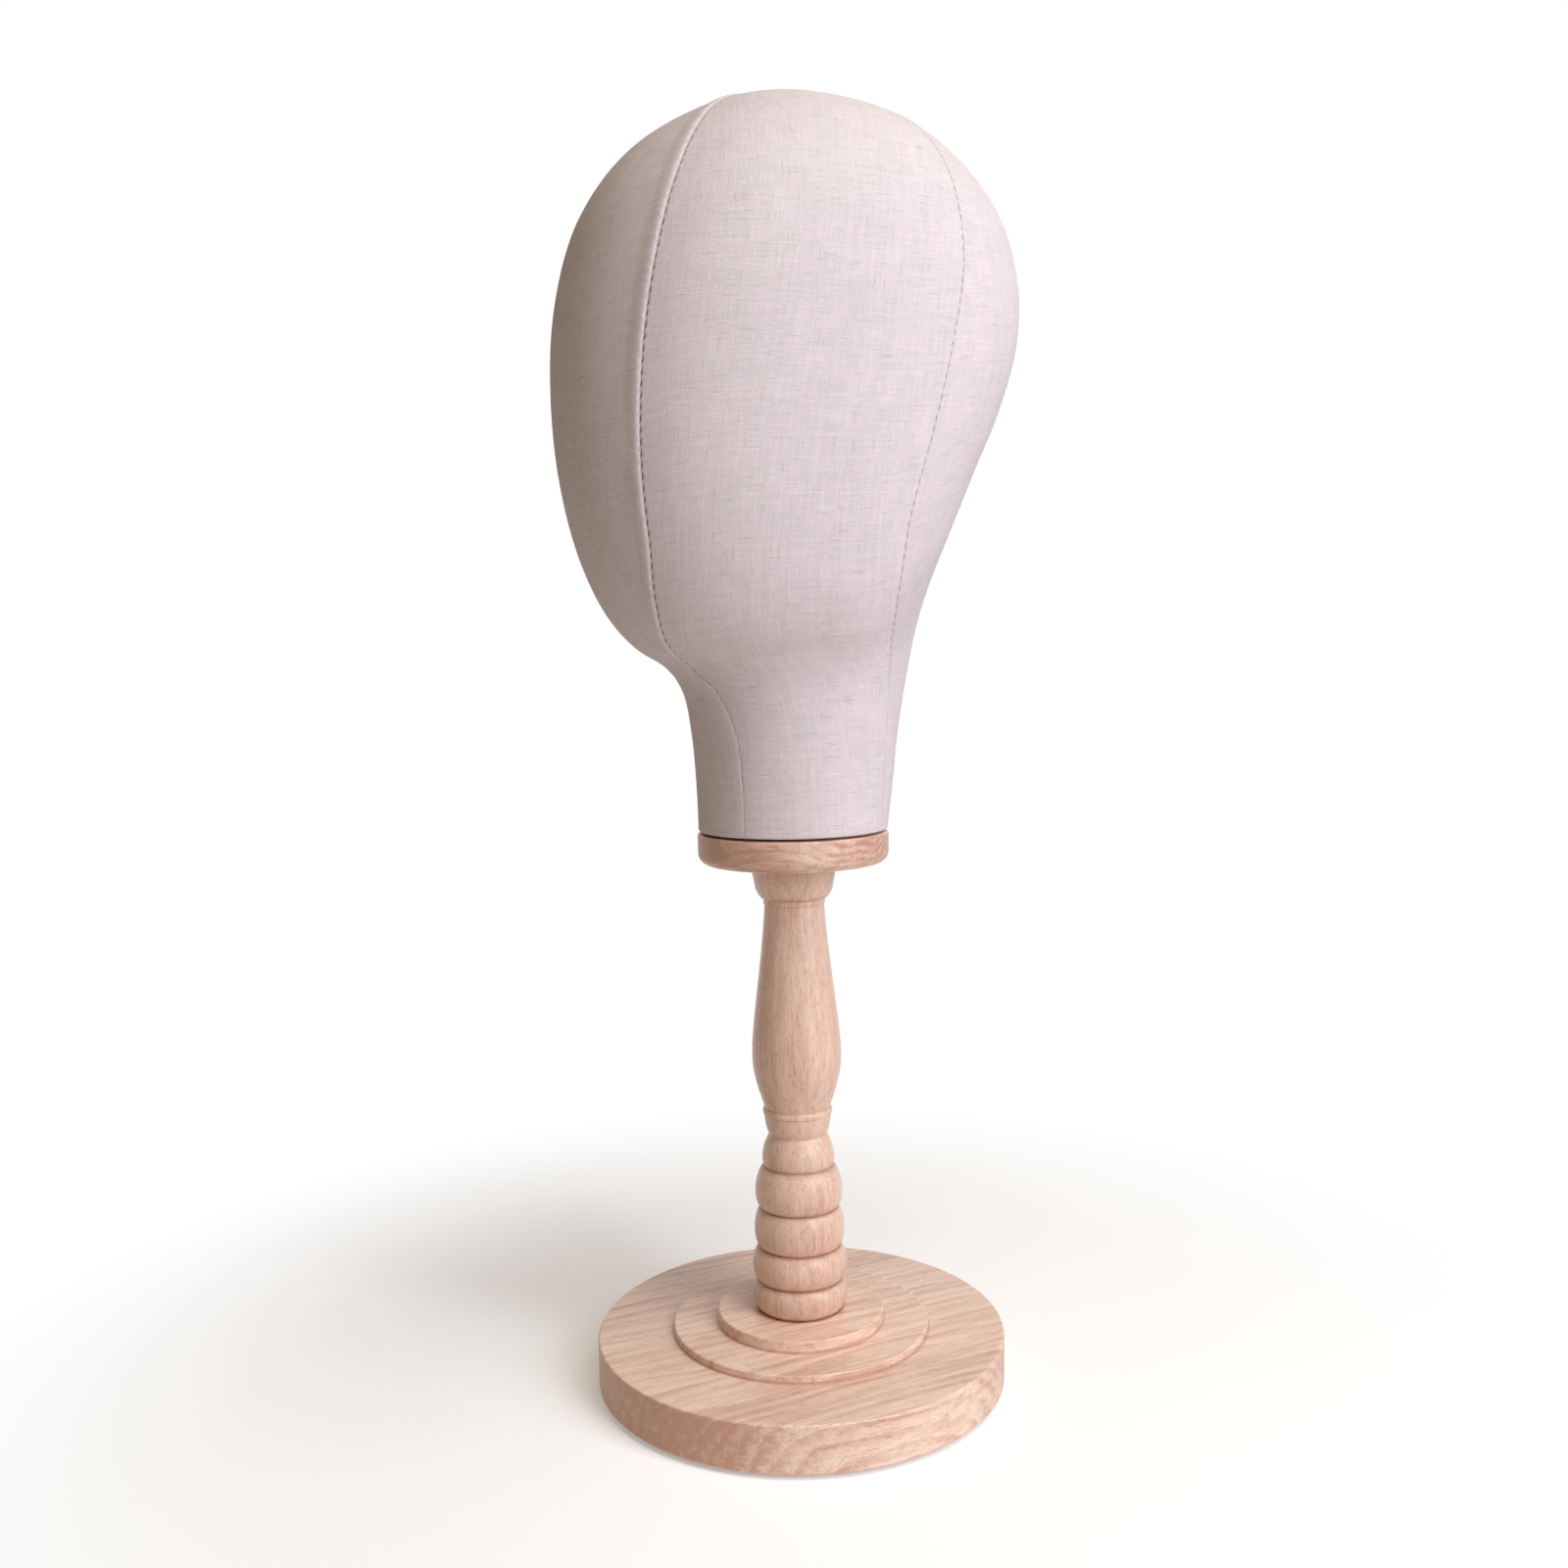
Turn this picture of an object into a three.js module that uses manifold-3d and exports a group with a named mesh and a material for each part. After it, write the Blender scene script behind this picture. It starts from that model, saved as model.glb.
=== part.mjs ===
// A display head for hats and wigs: a linen-covered head form that screws onto a turned
// wooden stand. Millimetres, +Z up, the face towards -Y, the origin on the stand's axis
// at the surface that it stands on.
import * as THREE from 'three';
import { mergeVertices } from 'three/addons/utils/BufferGeometryUtils.js';
import Module from 'manifold-3d';

const wasm = await Module();
wasm.setup();

// Driving dimensions. Heights are measured from the underside of the base board.

const GAP = 0.3; // left between two pieces that touch
const ROUND_SIDES = 36;
const SMALL_SIDES = 18;

const PAD = { radius: 10, thickness: 1.5, circle: 72, count: 4 };

const BASE = {
  radius: 90,
  thickness: 20.5,
  footRound: 1.2,
  rimRound: 0.8,
  steps: [
    { radius: 56.5, top: 24.0 },
    { radius: 36.8, top: 29.5 },
  ],
};

const BOLT = { radius: 4, length: 45, headRadius: 6.5, headHeight: 8, socket: 6, socketDepth: 5 };
const WASHER = { inner: 4.4, outer: 10, thickness: 1.5 };
const COUNTERBORE = { radius: 11, depth: 12 };
const INSERT = { radius: 6, ribPitch: 5, ribDepth: 0.5, footRibs: 4, topRibs: 3 };

// The post's profile from the foot up: each bead ends in a groove, and swells to its widest
// halfway there.
const POST = {
  foot: BASE.steps[1].top + GAP,
  footRadius: 18.1,
  beads: [
    { groove: 18.6, top: 43.0, swell: 21.0 },
    { groove: 17.9, top: 57.9, swell: 20.9 },
    { groove: 17.2, top: 75.5, swell: 19.9 },
    { groove: 15.4, top: 94.2, swell: 19.2 },
  ],
  shoulder: { radius: 16.9, height: 95.0 },
  waist: { radius: 12.7, height: 108.4 },
  ring: { radius: 14.4, swell: 15.3, bottom: 117.3, top: 120.5 },
  vase: { radius: 19.65, height: 144.0 },
  neck: { radius: 13.1, height: 210.6 },
  fillet: { radius: 13.5, top: 213.0 },
  ovolo: { radius: 17.0, top: 217.8 },
  collar: { radius: 18.2, bottom: 224.6 },
  top: 228.6,
};
const STUD = { radius: 4, bottom: 211.6, top: 281.6, bore: 4.5, spare: 6 };

const DISC = { radius: 41.5, bottom: POST.top + GAP, top: 242.3, lowerRound: 5, upperRound: 0.8, bore: 5 };
const SCREW = { circle: 24, count: 3, head: 4, shank: 2, length: 28 };

const LINEN = { thickness: 1.0, hem: 243.3, hemRound: 1.2, turnIn: 29, ridge: 0.7, ridgeWidth: 0.05 };
const CORE = { wall: 3, inset: LINEN.thickness + GAP };
const PLUG = { radius: 35.8, boss: 28.5, top: 270, bore: 5.6 };
const TEE = {
  barrel: 5.2,
  bore: 4.3,
  flange: 11,
  thickness: 1.5,
  depth: 9,
  prongs: 4,
  prong: { thick: 0.9, wide: 3, long: 6.5 },
};

// The head form is a loft. At each station the face, the ear and the nape lie at a reach from
// the axis and at a height, and the ring between them is a smooth oval. The seams of the cover
// cross a ring at two angles from the face. The last station is past the crown, where it turns
// the curves level.
const STATIONS = [
  { face: [41.0, 244.5], ear: [41.0, 244.5], nape: [41.2, 244.5], seams: [42.6, 138.0] },
  { face: [41.5, 262.0], ear: [41.3, 262.0], nape: [43.7, 262.0], seams: [43.0, 134.5] },
  { face: [43.0, 284.0], ear: [43.0, 286.0], nape: [46.5, 286.0], seams: [41.0, 133.0] },
  { face: [46.3, 303.0], ear: [46.0, 308.0], nape: [50.7, 311.0], seams: [31.0, 128.0] },
  { face: [53.0, 314.0], ear: [50.5, 317.5], nape: [55.2, 334.0], seams: [21.5, 122.0] },
  { face: [65.5, 322.0], ear: [59.0, 328.0], nape: [61.0, 356.0], seams: [25.0, 116.0] },
  { face: [77.0, 335.0], ear: [66.5, 343.0], nape: [69.0, 377.0], seams: [32.0, 111.8] },
  { face: [88.0, 358.0], ear: [72.3, 369.0], nape: [79.0, 398.0], seams: [38.7, 110.5] },
  { face: [96.2, 392.0], ear: [76.2, 402.0], nape: [91.9, 424.0], seams: [41.8, 113.3] },
  { face: [98.8, 430.0], ear: [78.0, 436.0], nape: [100.4, 450.0], seams: [44.5, 116.5] },
  { face: [96.3, 463.0], ear: [78.0, 468.0], nape: [101.4, 472.0], seams: [47.0, 120.0] },
  { face: [87.0, 495.0], ear: [72.5, 498.0], nape: [94.8, 498.0], seams: [48.8, 122.5] },
  { face: [69.8, 519.5], ear: [60.0, 521.5], nape: [78.0, 521.5], seams: [48.4, 127.5] },
  { face: [45.8, 536.3], ear: [41.5, 538.2], nape: [56.5, 538.2], seams: [45.5, 133.5] },
  { face: [22.0, 545.0], ear: [20.5, 546.0], nape: [29.0, 546.2], seams: [45.0, 135.0] },
  { face: [0.0, 547.7], ear: [0.0, 547.7], nape: [0.0, 547.7], seams: [45.0, 135.0] },
  { face: [-22.0, 545.0], ear: [-20.5, 546.0], nape: [-29.0, 546.2], seams: [45.0, 135.0] },
];
const CROWN = STATIONS.length - 2;
const SQUARENESS = { face: 0.35, nape: 0.08, from: 2, to: 14 };

// Materials

const material = (colour, roughness, metalness = 0) =>
  new THREE.MeshStandardMaterial({ color: colour, roughness, metalness });

const LINEN_CLOTH = material(0xd9cbc9, 0.95);
const BEECH = material(0xd9b497, 0.5);
const FIBREGLASS = material(0xcfc9ba, 0.7);
const STEEL = material(0xb4b6b8, 0.35, 1);
const ZINC = material(0xc4c0b4, 0.4, 1);
const FELT = material(0x6b6258, 1.0);

// Shapes

// The points of an outline drawn in the plane of radius and height.
function outline(draw, fineness = 4) {
  const path = new THREE.Path();
  draw(path);
  return path.getPoints(fineness);
}

function turned(points, sides) {
  return new THREE.LatheGeometry(points, sides).rotateX(Math.PI / 2);
}

function sleeve(inner, outer, bottom, top) {
  const points = outline((p) => {
    p.moveTo(inner, bottom);
    p.lineTo(outer, bottom);
    p.lineTo(outer, top);
    p.lineTo(inner, top);
    p.lineTo(inner, bottom);
  });
  return turned(points, SMALL_SIDES);
}

function toSolid(geometry) {
  const bare = geometry.clone();
  bare.deleteAttribute('normal');
  bare.deleteAttribute('uv');
  const merged = mergeVertices(bare, 1e-3);
  return new wasm.Manifold(
    new wasm.Mesh({
      numProp: 3,
      vertProperties: merged.attributes.position.array,
      triVerts: new Uint32Array(merged.index.array),
    })
  );
}

function fromSolid(solid) {
  const mesh = solid.getMesh();
  const geometry = new THREE.BufferGeometry();
  geometry.setAttribute('position', new THREE.BufferAttribute(mesh.vertProperties, 3));
  geometry.setIndex(new THREE.BufferAttribute(mesh.triVerts, 1));
  return geometry;
}

function indexed(positions, index) {
  const geometry = new THREE.BufferGeometry();
  geometry.setAttribute('position', new THREE.Float32BufferAttribute(positions, 3));
  geometry.setIndex(index);
  return geometry;
}

function cutAway(geometry, ...cutters) {
  return fromSolid(cutters.reduce((left, cutter) => left.subtract(toSolid(cutter)), toSolid(geometry)));
}

function joined(geometry, ...others) {
  return fromSolid(others.reduce((sum, other) => sum.add(toSolid(other)), toSolid(geometry)));
}

// Copies of one geometry, evenly spaced on a circle about the axis.
function spaced(geometry, radius, count, startAngle = 0) {
  return Array.from({ length: count }, (_, i) => {
    const angle = startAngle + (i * 2 * Math.PI) / count;
    return geometry.clone().translate(radius, 0, 0).rotateZ(angle);
  });
}

// The stand

function baseBoard() {
  const { radius, thickness, footRound, rimRound, steps } = BASE;
  const [low, high] = steps;
  const hole = BOLT.radius + 0.5;
  const points = outline((p) => {
    p.moveTo(COUNTERBORE.radius, 0);
    p.lineTo(radius - footRound, 0);
    p.absarc(radius - footRound, footRound, footRound, -Math.PI / 2, 0);
    p.lineTo(radius, thickness - rimRound);
    p.absarc(radius - rimRound, thickness - rimRound, rimRound, 0, Math.PI / 2);
    p.lineTo(low.radius, thickness);
    p.lineTo(low.radius, low.top - rimRound);
    p.absarc(low.radius - rimRound, low.top - rimRound, rimRound, 0, Math.PI / 2);
    p.lineTo(high.radius, low.top);
    p.lineTo(high.radius, high.top - rimRound);
    p.absarc(high.radius - rimRound, high.top - rimRound, rimRound, 0, Math.PI / 2);
    p.lineTo(hole, high.top);
    p.lineTo(hole, COUNTERBORE.depth);
    p.lineTo(COUNTERBORE.radius, COUNTERBORE.depth);
    p.lineTo(COUNTERBORE.radius, 0);
  }, 1);
  return turned(points, ROUND_SIDES + 12);
}

// A socket-head bolt, pushed up from below, with its head inside the counterbore.
function baseBolt() {
  const top = COUNTERBORE.depth - GAP - WASHER.thickness - GAP;
  const bottom = top - BOLT.headHeight;
  const points = outline((p) => {
    p.moveTo(0, bottom);
    p.lineTo(BOLT.headRadius - 0.6, bottom);
    p.lineTo(BOLT.headRadius, bottom + 0.6);
    p.lineTo(BOLT.headRadius, top);
    p.lineTo(BOLT.radius, top);
    p.lineTo(BOLT.radius, top + BOLT.length - 1);
    p.lineTo(BOLT.radius - 1, top + BOLT.length);
    p.lineTo(0, top + BOLT.length);
  });
  const acrossCorners = BOLT.socket / Math.sqrt(3);
  const key = new THREE.CylinderGeometry(acrossCorners, acrossCorners, BOLT.socketDepth * 2, 6)
    .rotateX(Math.PI / 2)
    .translate(0, 0, bottom);
  return cutAway(turned(points, SMALL_SIDES), key);
}

function baseWasher() {
  const top = COUNTERBORE.depth - GAP;
  return sleeve(WASHER.inner, WASHER.outer, top - WASHER.thickness, top);
}

// A threaded insert, ribbed outside where it grips the wood.
function threadedInsert(bottom, ribs) {
  const { radius, ribPitch, ribDepth } = INSERT;
  const top = bottom + ribs * ribPitch;
  const points = outline((p) => {
    p.moveTo(TEE.bore, bottom);
    for (let i = 0; i < ribs; i += 1) {
      p.lineTo(radius - ribDepth, bottom + i * ribPitch);
      p.lineTo(radius, bottom + (i + 0.5) * ribPitch);
    }
    p.lineTo(radius - ribDepth, top);
    p.lineTo(TEE.bore, top);
    p.lineTo(TEE.bore, bottom);
  });
  return turned(points, SMALL_SIDES);
}

// The insert in the foot of the post takes the bolt, and the one at its top takes the stud.
function footInsert() {
  return threadedInsert(POST.foot + GAP, INSERT.footRibs);
}

function topInsert() {
  return threadedInsert(POST.top - INSERT.topRibs * INSERT.ribPitch, INSERT.topRibs);
}

// One turned bead: it leaves a groove level, swells and comes back level to the next groove.
// swell is the radius that its widest ring reaches.
function bead(path, toRadius, toHeight, swell) {
  const { x: fromRadius, y: fromHeight } = path.currentPoint;
  const pull = (8 * swell - fromRadius - toRadius) / 6;
  path.bezierCurveTo(pull, fromHeight, pull, toHeight, toRadius, toHeight);
}

// The turned post: four beads, a shoulder and a waist, a thin ring, a vase with a slender neck,
// a fillet, an ovolo and a collar, and a stepped blind bore in each end.
function post() {
  const { shoulder, waist, ring, vase, neck, fillet, ovolo, collar } = POST;
  const insertBore = INSERT.radius + GAP;
  const insertTop = POST.foot + 2 * GAP + INSERT.footRibs * INSERT.ribPitch;
  const boltTip = insertTop + 10;
  const seat = POST.top - INSERT.topRibs * INSERT.ribPitch - GAP;
  const studEnd = STUD.bottom - STUD.spare;
  const points = outline((p) => {
    p.moveTo(0, boltTip);
    p.lineTo(BOLT.radius + 0.5, boltTip);
    p.lineTo(BOLT.radius + 0.5, insertTop);
    p.lineTo(insertBore, insertTop);
    p.lineTo(insertBore, POST.foot);
    p.lineTo(POST.footRadius, POST.foot);
    for (const { groove, top, swell } of POST.beads) bead(p, groove, top, swell);
    p.bezierCurveTo(shoulder.radius, 98.0, 15.4, 103.0, waist.radius, waist.height);
    p.quadraticCurveTo(13.6, 111.0, ring.radius, ring.bottom);
    bead(p, ring.radius, ring.top, ring.swell);
    p.bezierCurveTo(16.5, 127.0, vase.radius, 134.5, vase.radius, vase.height);
    p.bezierCurveTo(vase.radius, 158.0, 14.4, 186.0, neck.radius, neck.height);
    p.lineTo(fillet.radius, neck.height + fillet.radius - neck.radius);
    p.lineTo(fillet.radius, fillet.top);
    p.quadraticCurveTo(15.6, 213.8, ovolo.radius, ovolo.top);
    p.lineTo(collar.radius, collar.bottom);
    p.lineTo(collar.radius, POST.top);
    p.lineTo(insertBore, POST.top);
    p.lineTo(insertBore, seat);
    p.lineTo(STUD.bore, seat);
    p.lineTo(STUD.bore, studEnd);
    p.lineTo(0, studEnd);
  });
  return turned(points, SMALL_SIDES + 4);
}

// The stud, fixed in the head, that screws into the post. It is chamfered at both ends.
function hangerStud() {
  const { radius, bottom, top } = STUD;
  const points = outline((p) => {
    p.moveTo(0, bottom);
    p.lineTo(radius - 1, bottom);
    p.lineTo(radius, bottom + 1.5);
    p.lineTo(radius, top - 1);
    p.lineTo(radius - 1, top);
    p.lineTo(0, top);
  });
  return turned(points, SMALL_SIDES);
}

function basePads() {
  const pad = new THREE.CylinderGeometry(PAD.radius, PAD.radius, PAD.thickness, SMALL_SIDES)
    .rotateX(Math.PI / 2)
    .translate(0, 0, -GAP - PAD.thickness / 2);
  return spaced(pad, PAD.circle, PAD.count, Math.PI / 4);
}

// The head

// A countersunk wood screw that points up, with its head flush with the disc's underside.
function screwOutline(grow) {
  const { head, shank, length } = SCREW;
  const bottom = DISC.bottom;
  return outline((p) => {
    p.moveTo(0, bottom - grow);
    p.lineTo(head + grow, bottom - grow);
    p.lineTo(head + grow, bottom + 0.4);
    p.lineTo(shank + grow, bottom + 0.4 + head - shank);
    p.lineTo(shank + grow, bottom + length - 4);
    p.lineTo(0, bottom + length + grow);
  });
}

function discScrews() {
  const arm = [new THREE.BoxGeometry(4.4, 0.9, 3), new THREE.BoxGeometry(0.9, 4.4, 3)];
  const screw = cutAway(
    turned(screwOutline(0), 12),
    ...arm.map((box) => box.translate(0, 0, DISC.bottom))
  );
  return spaced(screw, SCREW.circle, SCREW.count);
}

function screwHoles() {
  return spaced(turned(screwOutline(GAP), 12), SCREW.circle, SCREW.count);
}

// The turned disc that closes the neck, square above and rounded below.
function neckDisc() {
  const { radius, bottom, top, lowerRound, upperRound, bore } = DISC;
  const points = outline((p) => {
    p.moveTo(bore, bottom);
    p.lineTo(radius - lowerRound, bottom);
    p.absarc(radius - lowerRound, bottom + lowerRound, lowerRound, -Math.PI / 2, 0);
    p.lineTo(radius, top - upperRound);
    p.absarc(radius - upperRound, top - upperRound, upperRound, 0, Math.PI / 2);
    p.lineTo(bore, top);
    p.lineTo(bore, bottom);
  }, 2);
  return cutAway(turned(points, ROUND_SIDES), ...screwHoles());
}

// The tee nut in the plug: a barrel, a round flange and four prongs bent down.
function teeNut(grow = 0) {
  const seat = PLUG.top + GAP;
  const { thick, wide, long } = TEE.prong;
  const barrel = sleeve(TEE.bore - grow, TEE.barrel + grow, seat - TEE.depth - grow, seat + 0.1);
  const flange = sleeve(TEE.bore - grow, TEE.flange + grow, seat - grow, seat + TEE.thickness);
  const prong = new THREE.BoxGeometry(thick + 2 * grow, wide + 2 * grow, long + 2 * grow);
  prong.translate(0, 0, seat - long / 2 + 0.1);
  const prongs = spaced(prong, TEE.flange - thick / 2, TEE.prongs);
  return joined(barrel, flange, ...prongs);
}

// The wooden plug glued into the neck, with a boss that stands on the disc inside the hem.
function neckPlug() {
  const shoulder = LINEN.hem + LINEN.thickness + GAP;
  const bottom = DISC.top + GAP;
  const points = outline((p) => {
    p.moveTo(PLUG.bore, bottom);
    p.lineTo(PLUG.boss, bottom);
    p.lineTo(PLUG.boss, shoulder);
    p.lineTo(PLUG.radius, shoulder);
    p.lineTo(PLUG.radius, PLUG.top - 1);
    p.lineTo(PLUG.radius - 1, PLUG.top);
    p.lineTo(PLUG.bore, PLUG.top);
    p.lineTo(PLUG.bore, bottom);
  });
  return cutAway(turned(points, ROUND_SIDES), ...screwHoles(), teeNut(GAP));
}

// A curve through one pair of values of every station.
function through(key) {
  const points = STATIONS.map((station) => new THREE.Vector3(...station[key], 0));
  const curve = new THREE.CatmullRomCurve3(points, false, 'centripetal');
  return (u) => curve.getPoint(u / (STATIONS.length - 1));
}

const faceCurve = through('face');
const earCurve = through('ear');
const napeCurve = through('nape');
const seamCurve = through('seams');

// A point of the head's surface, u counted in stations up from the hem, and the angle in
// degrees from the face, turning to the head's left.
function formPoint(u, degrees) {
  const angle = THREE.MathUtils.degToRad(degrees);
  const sine = Math.sin(angle);
  const cosine = Math.cos(angle);
  const ear = earCurve(u);
  const end = cosine > 0 ? faceCurve(u) : napeCurve(u);
  const along = THREE.MathUtils.clamp((u - SQUARENESS.from) / (SQUARENESS.to - SQUARENESS.from), 0, 1);
  const most = cosine > 0 ? SQUARENESS.face : SQUARENESS.nape;
  const power = 2 / (2 + most * Math.sin(Math.PI * along));
  return new THREE.Vector3(
    Math.sign(sine) * ear.x * Math.abs(sine) ** power,
    -Math.sign(cosine) * end.x * Math.abs(cosine) ** power,
    ear.y + (end.y - ear.y) * cosine * cosine
  );
}

function formNormal(u, degrees) {
  const low = Math.max(u - 0.05, 0);
  const high = Math.min(u + 0.05, CROWN - 0.01);
  const across = formPoint(u, degrees + 1).sub(formPoint(u, degrees - 1));
  const upward = formPoint(high, degrees).sub(formPoint(low, degrees));
  return across.cross(upward).normalize();
}

// The same surface moved inwards by a distance, or outwards by a negative one.
function insetPoint(u, degrees, distance) {
  return formPoint(u, degrees).addScaledVector(formNormal(u, degrees), -distance);
}

// The four panels of the cover, each from one seam to the next, as angles at a station.
const PANELS = [
  { name: 'face_panel', spans: 4, seams: ([front]) => [-front, front] },
  { name: 'left_panel', spans: 4, seams: ([front, back]) => [front, back] },
  { name: 'back_panel', spans: 6, seams: ([, back]) => [back, 360 - back] },
  { name: 'right_panel', spans: 4, seams: ([front, back]) => [360 - back, 360 - front] },
];

function seamAngles(panel, u) {
  const { x: front, y: back } = seamCurve(u);
  return panel.seams([front, back]);
}

// Stations of the rings: one to a stretch on the neck, two from there up, and a last one close
// to the crown.
const NECK_TOP = 3;
const RINGS = [0, 1, 2];
for (let u = NECK_TOP; u < CROWN; u += 0.5) RINGS.push(u);
RINGS.push(CROWN - 0.03);

// A closed sheet between two grids of points with the same rows and columns, with a rim all
// round. Its rows run upwards and its columns to the head's left.
function closedSheet(outer, inner) {
  const rows = outer.length;
  const columns = outer[0].length;
  const lastRow = rows - 1;
  const last = columns - 1;
  const positions = [...outer, ...inner].flat().flatMap((point) => point.toArray());
  const index = [];
  const out = (i, j) => i * columns + j;
  const back = (i, j) => rows * columns + out(i, j);
  const face = (a, b, c, d) => index.push(a, b, c, a, c, d);
  for (let i = 0; i < lastRow; i += 1) {
    for (let j = 0; j < last; j += 1) {
      face(out(i, j), out(i, j + 1), out(i + 1, j + 1), out(i + 1, j));
      face(back(i, j), back(i + 1, j), back(i + 1, j + 1), back(i, j + 1));
    }
    face(out(i, 0), out(i + 1, 0), back(i + 1, 0), back(i, 0));
    face(out(i, last), back(i, last), back(i + 1, last), out(i + 1, last));
  }
  for (let j = 0; j < last; j += 1) {
    face(out(0, j), back(0, j), back(0, j + 1), out(0, j + 1));
    face(out(lastRow, j), out(lastRow, j + 1), back(lastRow, j + 1), back(lastRow, j));
  }
  return indexed(positions, index);
}

// A panel's columns, as fractions of the way from seam to seam: even spans, with two narrow
// ones at each seam that carry the ridge of the cloth.
const RIDGE_COLUMN = 0.04;
const SPAN_COLUMN = 0.14;

function coreColumns(panel) {
  const step = (1 - 2 * SPAN_COLUMN) / panel.spans;
  return [0, ...Array.from({ length: panel.spans + 1 }, (_, i) => SPAN_COLUMN + i * step)];
}

function clothColumns(panel) {
  return [0, RIDGE_COLUMN, ...coreColumns(panel).slice(1), 1 - RIDGE_COLUMN, 1];
}

// The angle of each column on a ring, with half the gap kept free at each seam.
function columnAngles(panel, u) {
  const [from, to] = seamAngles(panel, u);
  const width = formPoint(u, from).distanceTo(formPoint(u, to));
  const free = Math.min(GAP / 2 / width, 0.2);
  return clothColumns(panel).map((t) => from + (to - from) * (free + (1 - 2 * free) * t));
}

// The cloth stands up in a low ridge over the seam allowance.
function ridge(t) {
  const near = Math.min(t, 1 - t) / LINEN.ridgeWidth;
  return LINEN.ridge * Math.exp(-near * near);
}

// The hem: the cloth rounds the rim of the neck and is turned in above the disc.
function hemRow(panel, radiusFrom, height) {
  return columnAngles(panel, 0).map((degrees) => {
    const rim = formPoint(0, degrees);
    const radius = radiusFrom(Math.hypot(rim.x, rim.y));
    return new THREE.Vector3(rim.x, rim.y, 0).setLength(radius).setZ(height);
  });
}

function clothPanel(panel) {
  const { thickness, hem, hemRound, turnIn } = LINEN;
  const outer = [
    hemRow(panel, () => turnIn, hem),
    hemRow(panel, (rim) => rim - hemRound, hem),
    hemRow(panel, (rim) => rim - 0.3 * hemRound, hem + 0.3 * hemRound),
  ];
  const inner = [
    hemRow(panel, () => turnIn, hem + thickness),
    hemRow(panel, (rim) => rim - hemRound - 0.05, hem + thickness),
    hemRow(panel, (rim) => rim - thickness - 0.05, hem + thickness + 0.05),
  ];
  const heights = clothColumns(panel).map(ridge);
  for (const u of RINGS) {
    const angles = columnAngles(panel, u);
    const rise = Math.min(1, (CROWN - u) / 2);
    outer.push(angles.map((degrees, j) => insetPoint(u, degrees, -rise * heights[j])));
    inner.push(angles.map((degrees) => insetPoint(u, degrees, thickness)));
  }
  return closedSheet(outer, inner);
}

// The rigid hollow form under the cover, open at the neck.
function headCore() {
  const rim = LINEN.hem + LINEN.thickness + GAP;
  const layer = (rings, distance) =>
    rings.map((u) =>
      PANELS.flatMap((panel) => {
        const [from, to] = seamAngles(panel, u);
        return coreColumns(panel).map((t) => {
          const point = insetPoint(u, from + (to - from) * t, distance);
          return point.setZ(Math.max(point.z, rim));
        });
      })
    );
  const coarse = RINGS.filter((u) => u % 1 !== 0.5);
  return closedTop(layer(RINGS, CORE.inset), layer(coarse, CORE.inset + CORE.wall));
}

// A shell of two layers of closed rings that meet at the first ring and end in a pole each.
function closedTop(outer, inner) {
  const columns = outer[0].length;
  const positions = [];
  const index = [];
  for (const layer of [outer, inner]) {
    const start = positions.length / 3;
    const at = (i, j) => start + i * columns + (j % columns);
    const face = (a, b, c) => index.push(...(layer === outer ? [a, b, c] : [a, c, b]));
    const top = layer.at(-1);
    const pole = at(layer.length, 0);
    positions.push(...layer.flat().flatMap((point) => point.toArray()));
    positions.push(0, 0, top.reduce((sum, point) => sum + point.z, 0) / top.length);
    for (let j = 0; j < columns; j += 1) {
      for (let i = 0; i < layer.length - 1; i += 1) {
        face(at(i, j), at(i, j + 1), at(i + 1, j + 1));
        face(at(i, j), at(i + 1, j + 1), at(i + 1, j));
      }
      face(at(layer.length - 1, j), at(layer.length - 1, j + 1), pole);
    }
  }
  const innerStart = outer.length * columns + 1;
  for (let j = 0; j < columns; j += 1) {
    const next = (j + 1) % columns;
    index.push(j, innerStart + j, innerStart + next, j, innerStart + next, next);
  }
  return indexed(positions, index);
}

// The assembly

function piece(name, geometry, finish) {
  geometry.computeVertexNormals();
  const mesh = new THREE.Mesh(geometry, finish);
  mesh.name = name;
  return mesh;
}

const stand = new THREE.Group();
stand.add(piece('base', baseBoard(), BEECH));
basePads().forEach((pad, i) => stand.add(piece(`base_pad_${i + 1}`, pad, FELT)));
stand.add(piece('base_bolt', baseBolt(), STEEL));
stand.add(piece('base_washer', baseWasher(), STEEL));
stand.add(piece('foot_insert', footInsert(), ZINC));
stand.add(piece('post', post(), BEECH));
stand.add(piece('post_insert', topInsert(), ZINC));

const head = new THREE.Group();
head.add(piece('hanger_stud', hangerStud(), STEEL));
head.add(piece('neck_disc', neckDisc(), BEECH));
discScrews().forEach((screw, i) => head.add(piece(`disc_screw_${i + 1}`, screw, ZINC)));
head.add(piece('neck_plug', neckPlug(), BEECH));
head.add(piece('tee_nut', teeNut(), ZINC));
head.add(piece('head_core', headCore(), FIBREGLASS));
PANELS.forEach((panel) => head.add(piece(panel.name, clothPanel(panel), LINEN_CLOTH)));

const displayHead = new THREE.Group();
displayHead.position.z = PAD.thickness + GAP;
displayHead.add(stand, head);

export default displayHead;
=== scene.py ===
import math

import bmesh
import bpy
import numpy as np
from mathutils import Matrix, Vector


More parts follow.
